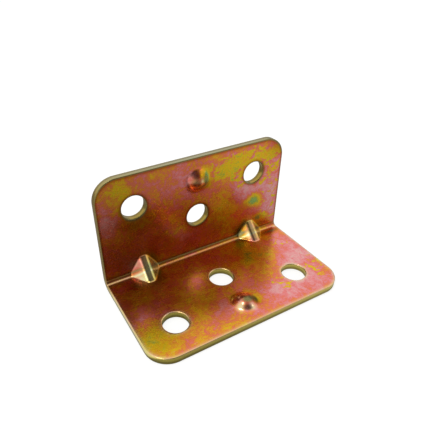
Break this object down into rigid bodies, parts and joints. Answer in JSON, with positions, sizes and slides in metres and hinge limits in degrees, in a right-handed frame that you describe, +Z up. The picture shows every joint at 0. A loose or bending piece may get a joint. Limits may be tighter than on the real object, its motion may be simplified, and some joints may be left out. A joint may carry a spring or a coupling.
{
  "type": "corner brace",
  "caption": "Wide corner brace: one folded steel sheet with rounded corners, screw holes in both flanges, stiffening darts across the fold and a pressed dimple in each flange.",
  "frame": {"origin": "middle of the footprint, on the underside of the lower flange", "axes": "+X along the fold, +Y from the lower flange's free edge towards the upright flange, +Z up"},
  "size_m": [0.0446, 0.0254, 0.0254],
  "materials": {
    "yellow_zinc": "steel plated with zinc and yellow passivated, semi-bright with mottled gold, olive, pink and red-brown tints"
  },
  "bodies": {
    "root": {"corner_brace": "yellow_zinc"}
  },
  "joints": []
}
